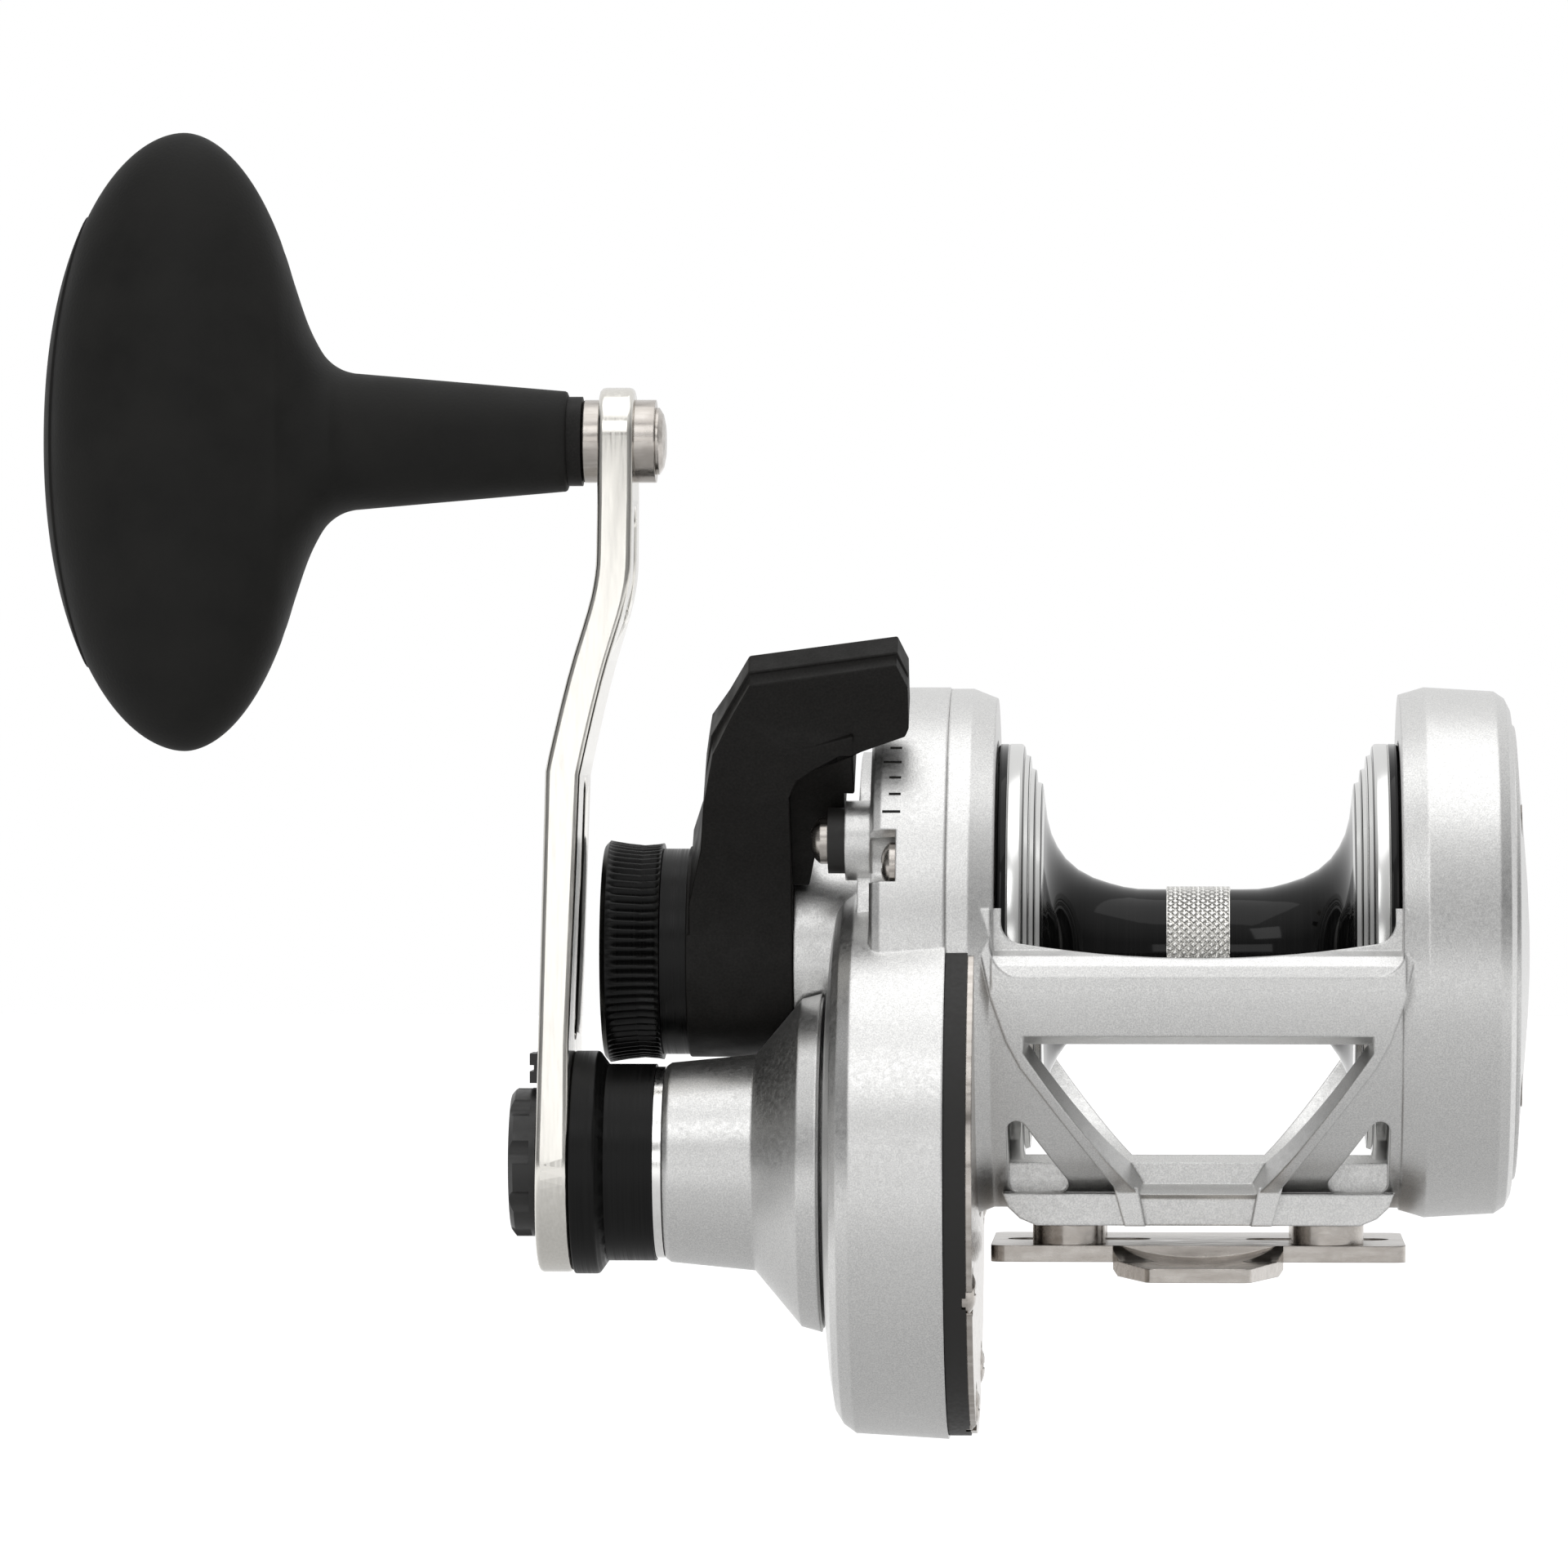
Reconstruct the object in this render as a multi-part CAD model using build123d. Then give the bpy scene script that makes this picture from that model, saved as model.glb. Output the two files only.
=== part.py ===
"""Two-speed lever-drag trolling reel, built as separate pieces in millimetres.

+X runs along the spool's axis towards the palm side, the handle is on -X, -Y is the angler's side,
+Y points to the rod's tip and +Z is up. The origin is the middle of the foot plate's underside.
Every function below works in reel coordinates, whose Z is measured from the spool's axis, and save()
lifts the result by SPOOL_HEIGHT.
"""

import math
import os
from build123d import *

# ---- driving dimensions -------------------------------------------------------------------------
SPOOL_HEIGHT = 44.5          # spool axis above the foot plate's underside
MODULE = 0.8                 # both gear pairs
HIGH_TEETH, HIGH_PINION_TEETH = 72, 12
LOW_TEETH, LOW_PINION_TEETH = 63, 21
GEAR_DISTANCE = MODULE * (HIGH_TEETH + HIGH_PINION_TEETH) / 2
GEAR_Y = -14.5               # handle axis, towards the angler
GEAR_Z = -math.sqrt(GEAR_DISTANCE**2 - GEAR_Y**2)
MESH_DEGREES = math.degrees(math.atan2(GEAR_Z, GEAR_Y))     # from spool axis to handle axis
ARM_LENGTH = 104.8           # handle axis to knob axis
KNOB_Z = GEAR_Z + ARM_LENGTH

RING_R = 38.6                # frame ring and side plates
RING_BORE_R = 31.0
PLATE_R = 38.8
SEAM = 0.3                   # chamfer that shows where the gear side plate meets the ring
RING_LEFT, RING_LEFT_INNER = -36.0, -29.3
WEB_RIGHT = -32.6            # inner face of the frame's left wall
CUP_LEFT, CUP_RIGHT = 29.2, 45.4
SHELL_IN = 32.6              # inside of the walls between the rings
BAR_OUT, POST_OUT = 39.4, 37.4
BAR_END = 29.5               # beyond this the bar's face slopes down to the rings
DECK_TOP, DECK_BOTTOM = -34.6, -39.2
DECK_HALF_Y, STRUT_FOOT_Y = 17.6, 19.4

FLANGE_R = 30.5
FLANGE_X = 29.2
RECESS_X = 25.9              # floor of the recess in each spool flange
ARBOR_R = 9.2
SHAFT_R = 3.0
SHAFT_THIN_R = 2.5
FIT = 0.04                   # running clearance on a radius

PLATE_FACE = -47.0           # outer face of the gear side plate
HOUSING_R = 40.0
SEAL_RIGHT = -32.8           # the seal's right face, which carries the back plate
BACK_SEAT = -33.4            # where the back plate's screws seat, in notches of the seal
CAVITY_X = -51.6
CAVITY_R = 31.5
COVER_X = -54.2              # seat of the gear cover on the housing
HUB_END = -77.3

LEVER_REST = 38.0            # degrees from straight up, towards the angler
LEVER_TRAVEL = 115.0
LEVER_HALF = 6.4
LEVER_STEP = 0.6             # drop between the two ledges of the thumb pad
WEB_HALF = 4.5               # the lever's web, which meets the stops
STOP_GAP = 18.4              # degrees between the lever's middle and a stop post at contact
STOP_R = 30.0

FOOT_THICK = 2.4
FOOT_HALF_X, FOOT_HALF_Y = 30.0, 17.5
TONGUE_END, TONGUE_DROP = 37.0, 1.8
BOSS_X, BOSS_Y = 18.7, 12.0
SLOT_X, SLOT_LENGTH, SLOT_WIDTH = 17.4, 21.0, 5.5


# ---- helpers ------------------------------------------------------------------------------------
def turned(points, y=0.0, z=0.0):
    """Solid of revolution about an axis along X, from its (x, radius) corners."""
    outline = make_face(Polyline([(x, 0, r) for x, r in points], close=True))
    return Pos(0, y, z) * revolve(outline, Axis.X, 360)


def tube(x0, x1, outer, inner=0.0, y=0.0, z=0.0):
    """Plain cylinder or ring along X."""
    return turned([(x0, inner), (x0, outer), (x1, outer), (x1, inner)], y, z)


def about_gear(points):
    return turned(points, GEAR_Y, GEAR_Z)


def gear_tube(x0, x1, outer, inner=0.0):
    return tube(x0, x1, outer, inner, GEAR_Y, GEAR_Z)


def knob_tube(x0, x1, outer, inner=0.0):
    return tube(x0, x1, outer, inner, GEAR_Y, KNOB_Z)


def prism_x(face, x0, x1):
    """Face drawn as (y, z), swept from x0 to x1."""
    return Pos(x0, 0, 0) * extrude(Plane.YZ * face, x1 - x0)


def prism_y(points, y0, y1):
    """Closed outline drawn as (x, z), swept from y0 to y1."""
    outline = make_face(Polyline([(x, y0, z) for x, z in points], close=True))
    return extrude(outline, abs(y1 - y0), dir=(0, 1 if y1 > y0 else -1, 0))


def block(x0, x1, y0, y1, z0, z1):
    middle = Pos((x0 + x1) / 2, (y0 + y1) / 2, (z0 + z1) / 2)
    return middle * Box(abs(x1 - x0), abs(y1 - y0), abs(z1 - z0))


def polar(radius, degrees):
    """(y, z) at an angle measured from straight up towards the angler."""
    turn = math.radians(degrees)
    return -radius * math.sin(turn), radius * math.cos(turn)


def joined(shapes):
    whole = shapes[0]
    for shape in shapes[1:]:
        whole = whole + shape
    return whole


def tooth_ring(teeth, x0, x1, bore, phase=0.0):
    """Spur gear about the X axis. Teeth are slim, for backlash; phase 0 puts a tooth on +Y."""
    pitch_r = MODULE * teeth / 2
    root_r, tip_r = pitch_r - 1.2 * MODULE, pitch_r + 0.8 * MODULE
    slope = math.tan(math.radians(20))
    half = {r: 0.19 * math.pi * MODULE + slope * (pitch_r - r) for r in (root_r, tip_r)}
    points = []
    for i in range(teeth):
        middle = phase + 2 * math.pi * i / teeth
        for r, side in ((root_r, -1), (tip_r, -1), (tip_r, 1), (root_r, 1)):
            turn = middle + side * half[r] / r
            points.append((r * math.cos(turn), r * math.sin(turn)))
    face = make_face(Polyline(points, close=True)) - Circle(bore)
    return prism_x(face, x0, x1)


def ratchet(teeth, tip_r, depth, x0, x1, bore, hooked=True):
    """Toothed wheel with either hooked or even teeth."""
    points = []
    for i in range(teeth):
        start = 2 * math.pi * i / teeth
        crest = start if hooked else start + math.pi / teeth
        points.append(((tip_r - depth) * math.cos(start), (tip_r - depth) * math.sin(start)))
        points.append((tip_r * math.cos(crest + 0.01), tip_r * math.sin(crest + 0.01)))
    face = make_face(Polyline(points, close=True)) - Circle(bore)
    return prism_x(face, x0, x1)


def bearing(x0, x1, inner, outer, y=0.0, z=0.0):
    """Shielded ball bearing as one solid, with the step between ring and shield on both faces."""
    lip, dish = (outer - inner) * 0.22, 0.25
    profile = [
        (x0, inner), (x0, inner + lip), (x0 + dish, inner + lip), (x0 + dish, outer - lip),
        (x0, outer - lip), (x0, outer), (x1, outer), (x1, outer - lip), (x1 - dish, outer - lip),
        (x1 - dish, inner + lip), (x1, inner + lip), (x1, inner),
    ]
    return turned(profile, y, z)


def pan_screw(head_r, head_h, shank_r, length):
    """Screw along Z: the head is above 0 with a domed top and a cross recess, the shank below."""
    dome = head_h * 0.55
    points = [(0, -length), (shank_r, -length), (shank_r, 0), (head_r, 0), (head_r, head_h - dome)]
    outline = make_face(
        Polyline([(r, 0, h) for r, h in points])
        + ThreePointArc(
            (head_r, 0, head_h - dome), (head_r * 0.72, 0, head_h - dome * 0.3), (0, 0, head_h)
        )
        + Line((0, 0, head_h), (0, 0, -length))
    )
    screw = revolve(outline, Axis.Z, 360)
    slot = Box(head_r * 1.15, head_r * 0.24, head_h) + Box(head_r * 0.24, head_r * 1.15, head_h)
    return screw - Pos(0, 0, head_h) * slot


def countersink(head_r, shank_r, length):
    """Space that a countersunk screw fills, along Z with its flat head at 0."""
    cone = head_r - shank_r
    points = [(0, 0), (head_r, 0), (shank_r, -cone), (shank_r, -length), (0, -length)]
    return revolve(make_face(Polyline([(r, 0, h) for r, h in points], close=True)), Axis.Z, 360)


def flat_screw(head_r, shank_r, length):
    """Countersunk screw with a hexagon socket."""
    socket = extrude(RegularPolygon(head_r * 0.45, 6), -(head_r - shank_r) * 0.8)
    return countersink(head_r, shank_r, length) - socket


def facing_left(shape, x, y, z):
    """Turns a screw drawn along Z so that its head points to -X, and places it."""
    return Pos(x, y, z) * Rot(0, -90, 0) * shape


def facing_right(shape, x, y, z):
    return Pos(x, y, z) * Rot(0, 90, 0) * shape


def save(name, *solids):
    """Writes one node, lifted into the part's frame. A group of loose pieces is one node too."""
    lifted = [Pos(0, 0, SPOOL_HEIGHT) * solid for solid in solids]
    export_step(lifted[0] if len(lifted) == 1 else Compound(children=lifted), f"parts/{name}.step")


# ---- places shared by several pieces --------------------------------------------------------------
PLATE_SCREWS = [polar(34.6, a) for a in (67.7, 12, -44, -100)]
BACK_SCREWS = [
    (GEAR_Y - 36.0 * math.sin(math.radians(a)), GEAR_Z - 36.0 * math.cos(math.radians(a)))
    for a in (62.4, 15.5, -31.4, -78.3)
]
PALM_SCREWS = [polar(27.5, a) for a in (45, 135, 225, 315)]
STOPS = [
    polar(STOP_R, LEVER_REST + STOP_GAP),
    polar(STOP_R, LEVER_REST - LEVER_TRAVEL - STOP_GAP),
]
FOOT_BOSSES = [(x, y) for x in (-BOSS_X, BOSS_X) for y in (-BOSS_Y, BOSS_Y)]
PAWLS = [polar(17.5, a) for a in (20, 200)]     # pawl pins, about the handle axis
ARM_SCREWS = [
    (GEAR_Y + 7.0 * math.cos(a), GEAR_Z + 7.0 * math.sin(a))
    for a in (math.pi / 4 + math.pi / 2 * i for i in range(4))
]
CLICK_Y = 20.2


# ---- frame and side plates ------------------------------------------------------------------------
def line_opening(half_width, drop, radius):
    """Outline above the cross bar, where the line leaves the spool, lowered by drop."""
    end = 2.4 - drop
    outline = make_face(
        ThreePointArc((-half_width, 0, end), (0, 0, end - 2.5), (half_width, 0, end))
        + Polyline([(half_width, 0, end), (half_width, 0, 30), (-half_width, 0, 30), (-half_width, 0, end)])
    )
    corners = outline.vertices().sort_by(Axis.Z)[:2]
    return extrude(fillet(corners, radius), 60, both=True)


def crossbar_outline():
    """Closed (x, z) outline of the bar and its two struts, as seen from the side."""
    right = [
        (31.2, 7.0), (31.2, 1.5), (29.5, -6.0), (27.4, -12.0), (25.4, -15.8), (17.4, -26.5),
        (11.0, -35.0), (9.8, -38.0),
    ]
    return right + [(-x, z) for x, z in reversed(right)]


def crossbar_shell():
    """Curved walls that join the rings on both sides: proud bar and struts, with thinner posts beside."""
    bar = tube(-31.2, 31.2, BAR_OUT, SHELL_IN) & prism_y(crossbar_outline(), -60, 60)
    posts = tube(-30.5, 30.5, POST_OUT, SHELL_IN) & block(-31, 31, -60, 60, -38, -6)
    shell = bar + posts - line_opening(28.2, 0, 3.2)
    shoulder = [(33.2, 1.0), (36.8, 0.3), (38.5, -1.0), (39.6, -3.4), (40.5, -3.4), (40.5, 7), (33.2, 7)]
    corner_window = [(-27.5, -21.6), (-27.5, DECK_TOP), (-17.4, DECK_TOP), (-24.9, -24.2)]
    for side in (-1, 1):
        wedge = make_face(Polyline([(side * y, z) for y, z in shoulder], close=True))
        shell = shell - (prism_x(wedge, -31.5, 31.5) & line_opening(29.7, 4.4, 4.6))
        end_slope = [(37.3, 3.0), (38.9, -3.4), (39.5, -8.0), (41, -8), (41, 9), (37.3, 9)]
        slope = make_face(Polyline([(side * y, z) for y, z in end_slope], close=True))
        shell = shell - prism_x(slope, -32, -BAR_END) - prism_x(slope, BAR_END, 32)
        shell = shell - wide_window(side)
        for flip in (-1, 1):
            shell = shell - corner_window_cut([(flip * x, z) for x, z in corner_window], side)
    return shell


def wide_window(side):
    """Window between the struts. It is drawn where it is smallest, inside, and widens outwards."""
    inner = [(-18.6, -15.7), (18.6, -15.7), (7.9, -33.4), (-7.9, -33.4)]
    outline = make_face(Polyline([(x, side * 12.0, z) for x, z in inner], close=True))
    flared = extrude(outline, 32, dir=(0, side, 0), taper=-10)
    return flared & block(-25, 25, -60, 60, -40, 0)


def corner_window_cut(points, side):
    """Window between a strut and its post."""
    outline = make_face(Polyline([(x, side * 12.0, z) for x, z in points], close=True))
    return extrude(fillet(outline.vertices(), 1.4), 40, dir=(0, side, 0))


def deck():
    """Bottom rails that carry the foot: one on each side, joined along the rings."""
    right = [(23.4, DECK_BOTTOM), (25.8, -38.2), (27.5, -36.6), (28.3, DECK_TOP)]
    outline = [(-x, z) for x, z in reversed(right)] + right
    rails = prism_y(outline, -DECK_HALF_Y, DECK_HALF_Y)
    strut_foot = [(-12.2, -33.6), (-8.7, -33.6), (-7.6, DECK_BOTTOM), (-10.6, DECK_BOTTOM)]
    for flip in (-1, 1):
        points = [(flip * x, z) for x, z in strut_foot]
        rails = rails + prism_y(points, -STRUT_FOOT_Y, STRUT_FOOT_Y)
    rails = rails - block(-24.5, 24.5, -6.5, 6.5, -45, -30)
    rails = rails - block(-8.2, 8.2, -12.6, 12.6, -45, -30)
    return rails - tube(-40, 40, SHELL_IN)


def frame():
    left = turned([
        (RING_LEFT, 9.0), (RING_LEFT, RING_R), (-32.8, RING_R), (RING_LEFT_INNER, 37.2),
        (RING_LEFT_INNER, RING_BORE_R), (WEB_RIGHT, RING_BORE_R), (WEB_RIGHT, 9.0),
    ])
    cup = turned([
        (CUP_LEFT, RING_BORE_R), (CUP_LEFT, 37.7), (32.9, PLATE_R), (43.1, 38.2), (44.6, 37.2),
        (CUP_RIGHT, 35.6), (CUP_RIGHT, 6.0), (42.0, 6.0), (42.0, RING_BORE_R),
    ])
    body = joined([left, cup, crossbar_shell(), deck()])
    cuts = [gear_tube(RING_LEFT, -33.4, 4.0)]
    cuts += [tube(RING_LEFT - 1, -30.5, 1.5, 0, y, z) for y, z in PLATE_SCREWS]
    cuts += [tube(41, 46, 1.2, 0, y, z) for y, z in PALM_SCREWS]
    cuts += [Pos(x, y, -37.2) * Cylinder(2.0, 5.0) for x, y in FOOT_BOSSES]
    cuts += [block(41, 46, 14.2, 21.6, -1.5, 1.5)]
    for cut in cuts:
        body = body - cut
    return body


def housing_shape():
    """Outside of the gear housing, a shallow drum about the handle axis."""
    return about_gear([
        (RING_LEFT, 0), (RING_LEFT, HOUSING_R), (-49.4, 39.2), (-51.2, 37.9), (-52.3, 36.1),
        (-53.0, 32.0), (-53.5, 26.8), (-53.8, 18.6), (COVER_X, 18.6), (COVER_X, 0),
    ])


def gear_side_plate():
    disc = turned([
        (RING_LEFT, 0), (RING_LEFT, PLATE_R - SEAM), (RING_LEFT - SEAM, PLATE_R),
        (-45.4, PLATE_R), (-46.5, 38.3), (PLATE_FACE, 37.2),
        (PLATE_FACE, 0),
    ])
    disc = disc + tube(-49.0, PLATE_FACE, 29.3, 26.2)
    disc = disc + tube(-58.7, PLATE_FACE, 15.3)
    for y, z in PLATE_SCREWS:
        disc = disc - tube(-48, -43.2, 4.0, 0, y, z)
        away = math.hypot(y, z)
        disc = disc - tube(-48, -43.2, 4.0, 0, y * 38.6 / away, z * 38.6 / away)
    plate = disc + housing_shape()
    plate = plate + joined([tube(-50.7, PLATE_FACE, 5.75, 0, y, z) for y, z in STOPS])
    cuts = [
        gear_tube(CAVITY_X, -35.0, CAVITY_R),
        tube(CAVITY_X, -35.0, 11.0),
        gear_tube(COVER_X - 1, CAVITY_X, 9.0),
        tube(-55.2, CAVITY_X, 6.5),
        tube(-59.0, -55.2, SHAFT_THIN_R + 0.1),
    ]
    cuts += [tube(-44, -35, 1.5, 0, y, z) for y, z in PLATE_SCREWS]
    cuts += [tube(-42, -35, 1.5, 0, y, z) for y, z in BACK_SCREWS]
    cuts += [tube(-51, -44.5, 1.5, 0, y, z) for y, z in STOPS]
    for cut in cuts:
        plate = plate - cut
    return plate


def crescent(x0, x1, radius):
    """Part of a disc about the handle axis that lies outside the frame's ring."""
    disc = gear_tube(x0, x1, radius) - tube(x0 - 1, x1 + 1, PLATE_R + 0.1)
    for y, z in BACK_SCREWS:
        disc = disc - tube(x0 - 1, x1 + 1, 1.5, 0, y, z)
        disc = disc - tube(BACK_SEAT, x1 + 1, 3.6, 0, y, z)
    return disc


def palm_side_plate():
    dome = turned([
        (CUP_RIGHT, 0), (CUP_RIGHT, 33.7), (46.1, 33.1), (46.8, 24.9), (47.4, 18.0), (47.9, 12.0),
        (48.25, 6.0), (48.4, 0),
    ])
    dome = dome - tube(CUP_RIGHT - 1, 45.9, 24.0)
    dome = dome - block(45, 49, 14.2, 21.6, -1.5, 1.5) - block(47.0, 49, 12.2, 23.6, -3.4, 3.4)
    for y, z in PALM_SCREWS:
        dome = dome - facing_right(countersink(2.4, 1.2, 6), 46.6, y, z)
        dome = dome - tube(46.6, 48, 2.4, 0, y, z)
    return dome


def gear_cover():
    """Cone and bearing hub that carry the drive shaft, scalloped to clear the drag lever's hub."""
    cover = about_gear([
        (-52.0, 4.6), (-52.0, 9.0), (COVER_X, 9.0), (COVER_X, 24.0), (-54.5, 24.0), (-54.5, 24.6),
        (-57.4, 23.8), (-64.2, 15.7), (-76.4, 14.5), (-77.1, 14.0), (HUB_END, 13.3),
        (HUB_END, 9.0), (-63.8, 9.0), (-63.8, 4.6),
    ])
    return cover - tube(-80, COVER_X, 16.0)


# ---- foot -------------------------------------------------------------------------------------------
def foot():
    top = -SPOOL_HEIGHT + FOOT_THICK
    plate = block(-FOOT_HALF_X, FOOT_HALF_X, -FOOT_HALF_Y, FOOT_HALF_Y, -SPOOL_HEIGHT, top)
    plate = fillet(plate.edges().filter_by(Axis.Z), 2.0)
    low = -SPOOL_HEIGHT - TONGUE_DROP
    side_view = [
        (14.0, -SPOOL_HEIGHT), (14.0, top), (17.5, top), (22.5, top - TONGUE_DROP - 0.2),
        (TONGUE_END, top - TONGUE_DROP - 0.4), (TONGUE_END, low), (21.5, low), (16.5, -SPOOL_HEIGHT),
    ]
    plan = make_face(Polyline([
        (-12.3, 13.0), (12.3, 13.0), (12.3, 19.0), (7.3, TONGUE_END), (-7.3, TONGUE_END),
        (-12.3, 19.0),
    ], close=True))
    plan = fillet(plan.vertices().sort_by(Axis.Y)[-2:], 1.6)
    tongue = prism_x(make_face(Polyline(side_view, close=True)), -15, 15)
    tongue = tongue & (Pos(0, 0, low - 1) * extrude(plan, 10))
    dimple = Pos(0, 26.5, top - TONGUE_DROP - 0.3 + 39.4) * Sphere(40)
    tongue = tongue - dimple
    whole = plate + tongue + mirror(tongue, Plane.XZ)
    slot = extrude(SlotOverall(SLOT_LENGTH, SLOT_WIDTH), 10, both=True)
    for x in (-SLOT_X, SLOT_X):
        whole = whole - Pos(x, 0, -SPOOL_HEIGHT) * slot
    for x, y in FOOT_BOSSES:
        whole = whole - Pos(x, y, -SPOOL_HEIGHT) * Rot(180, 0, 0) * countersink(3.4, 2.0, 9)
    return whole


def foot_spacer(x, y):
    top = -SPOOL_HEIGHT + FOOT_THICK
    spacer = Cylinder(5.3, DECK_BOTTOM - top) - Cylinder(2.0, 10)
    return Pos(x, y, (DECK_BOTTOM + top) / 2) * spacer


# ---- spool and drive -------------------------------------------------------------------------------
def spool():
    half = [
        (25.7, FLANGE_R), (25.3, 27.7), (24.3, 23.8), (22.7, 18.5),
    ]
    arc = [(19.4, 13.6), (15.1, 10.6), (8.8, ARBOR_R)]
    right = [(x, 0, r) for x, r in reversed(half)]
    left = [(-x, 0, r) for x, r in half]
    bend_left = Spline([left[-1]] + [(-x, 0, r) for x, r in arc])
    bend_right = Spline([(x, 0, r) for x, r in reversed(arc)] + [right[0]])
    seat = ARBOR_R - 0.5
    belt = Polyline([
        (-8.8, 0, ARBOR_R), (-4.7, 0, ARBOR_R), (-4.7, 0, seat), (4.7, 0, seat),
        (4.7, 0, ARBOR_R), (8.8, 0, ARBOR_R),
    ])
    rest = Polyline([
        right[-1], (FLANGE_X - 0.4, 0, FLANGE_R), (FLANGE_X, 0, FLANGE_R - 0.4),
        (FLANGE_X, 0, 26.6), (RECESS_X, 0, 26.6), (RECESS_X, 0, 6.5), (19, 0, 6.5), (19, 0, 4.5),
        (-19, 0, 4.5), (-19, 0, 6.5), (-RECESS_X, 0, 6.5), (-RECESS_X, 0, 26.6),
        (-FLANGE_X, 0, 26.6), (-FLANGE_X, 0, FLANGE_R - 0.4), (-FLANGE_X + 0.4, 0, FLANGE_R), left[0],
    ])
    outline = make_face(
        Polyline(left) + bend_left + belt + bend_right + Polyline(right) + rest
    )
    return revolve(outline, Axis.X, 360)


def spool_shaft():
    return turned([
        (-82.0, 0), (-82.0, SHAFT_THIN_R), (-27.5, SHAFT_THIN_R), (-27.5, SHAFT_R), (44.6, SHAFT_R),
        (44.6, 0),
    ])


def high_pinion():
    """Small pinion, with a journal to its left and a long sleeve to its right."""
    turn = math.pi / HIGH_PINION_TEETH
    bore = SHAFT_THIN_R + 0.1
    gear = Rot(MESH_DEGREES, 0, 0) * tooth_ring(HIGH_PINION_TEETH, -49.6, -45.6, bore, turn)
    return gear + tube(-54.9, -49.6, 3.4, bore) + tube(-45.6, -28.1, 3.7, bore)


def low_pinion():
    turn = math.pi / LOW_PINION_TEETH
    gear = Rot(MESH_DEGREES, 0, 0) * tooth_ring(LOW_PINION_TEETH, -45.4, -41.4, 3.7, turn)
    return gear + tube(-41.4, -37.2, 6.4, 3.7)


def drive_plate():
    return turned([
        (-36.4, 3.7), (-36.4, 5.4), (-32.4, 5.4), (-32.4, 7.5), (-29.4, 7.5), (-29.4, 26.0),
        (-28.0, 26.0), (-28.0, 3.7),
    ])


def high_gear():
    gear = Rot(MESH_DEGREES + 180, 0, 0) * tooth_ring(HIGH_TEETH, -49.4, -45.8, 5.0)
    gear = gear - tube(-47.9, -45.0, 6.3) - tube(-46.6, -45.0, 25.5, 9.5)
    holes = [tube(-50, -45, 3.4, 0, *polar(17.5, 60 * i)) for i in range(6)]
    for hole in holes:
        gear = gear - hole
    return Pos(0, GEAR_Y, GEAR_Z) * gear


def low_gear():
    gear = Rot(MESH_DEGREES + 180, 0, 0) * tooth_ring(LOW_TEETH, -45.2, -41.6, 5.0 + FIT)
    gear = gear + tube(-41.6, -39.7, 8.0, 5.0 + FIT)
    gear = gear - tube(-45.2, -42.7, 6.3) - tube(-42.4, -41.0, 22.0, 9.5)
    holes = [tube(-50, -40, 3.0, 0, *polar(15.8, 60 * i + 30)) for i in range(6)]
    for hole in holes:
        gear = gear - hole
    return Pos(0, GEAR_Y, GEAR_Z) * gear


def drive_shaft():
    shaft = turned([
        (-90.5, 1.6), (-90.5, 4.0), (-51.5, 4.0), (-51.5, 5.0), (-39.2, 5.0), (-39.2, 2.5),
        (-33.6, 2.5), (-33.6, 0), (-42.4, 0), (-42.4, 1.6),
    ])
    shaft = shaft - block(-47.9, -42.6, -6, 6, -0.85, 0.85)
    return Pos(0, GEAR_Y, GEAR_Z) * shaft


def gear_key():
    """Cross bar on the shift rod that locks one gear or the other to the drive shaft."""
    bar = block(-47.6, -46.0, -5.9, 5.9, -0.75, 0.75)
    return Pos(0, GEAR_Y, GEAR_Z) * bar


def pawl(place, x0, x1):
    """Anti-reverse pawl lifted clear of its ratchet, pointing round the handle axis."""
    y, z = place
    outline = [(-2.0, -1.4), (-1.2, 1.8), (1.6, 1.8), (6.2, -1.0), (1.6, -1.8)]
    arm = prism_x(make_face(Polyline(outline, close=True)), x0, x1)
    turn = math.degrees(math.atan2(z, y)) - 90
    placed = Rot(turn, 0, 0) * (Pos(0, 0, math.hypot(y, z)) * (arm - tube(x0 - 1, x1 + 1, 0.9)))
    return Pos(0, GEAR_Y, GEAR_Z) * placed


# ---- drag lever, preset knob and stops --------------------------------------------------------------
def lever_outline(step):
    """Side outline of the lever as (x, height above the spool axis); step lowers its top and bevels."""
    return [
        (-74.2, 0), (-73.9, 16.0), (-72.0, 24.0), (-71.35, 32.2), (-70.2 + 0.6 * step, 40.2 - 0.4 * step),
        (-64.4 + 0.4 * step, 52.0 - step), (-43.0 - 0.2 * step, 55.6 - step), (-41.5, 51.6 - step),
        (-41.5, 44.0), (-42.0, 42.8), (-48.1, 40.6), (-55.7, 37.4), (-57.8, 36.0), (-58.8, 33.6),
        (-58.8, 0),
    ]


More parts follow.
